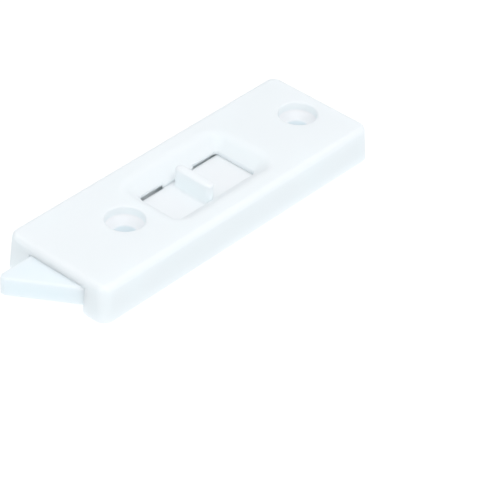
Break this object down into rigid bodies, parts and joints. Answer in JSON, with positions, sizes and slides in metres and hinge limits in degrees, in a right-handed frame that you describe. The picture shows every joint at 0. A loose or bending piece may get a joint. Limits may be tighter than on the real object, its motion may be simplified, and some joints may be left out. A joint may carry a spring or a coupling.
{
  "type": "window sash tilt latch",
  "caption": "Surface-mounted white plastic tilt latch for a hung window sash: drafted housing with dished thumb recess, spring-loaded bevelled bolt and two countersunk screw holes.",
  "frame": {"origin": "on the mounting face, midway between the two screw holes", "axes": "+Z out of the mounting face towards the user, +X from the bolt end to the plain end, +Y towards the long side the bolt's tip lies on"},
  "size_m": [0.0887, 0.0276, 0.0091],
  "materials": {
    "housing_plastic": "satin moulded white",
    "bolt_plastic": "satin moulded white",
    "spring_steel": "drawn spring wire",
    "zinc_plated_steel": "bright zinc plate on rolled sheet"
  },
  "bodies": {
    "latch_body": {"housing": "housing_plastic", "back_plate": "zinc_plated_steel", "return_spring": "spring_steel"},
    "bolt": {"latch_bolt": "bolt_plastic"}
  },
  "joints": [
    {"name": "bolt_slide", "type": "slide", "parent": "latch_body", "child": "bolt", "axis": [1, 0, 0], "range_m": [0, 0.0086], "stiffness_N_per_m": 235, "springref_m": -0.002, "deforming": ["return_spring"]}
  ]
}
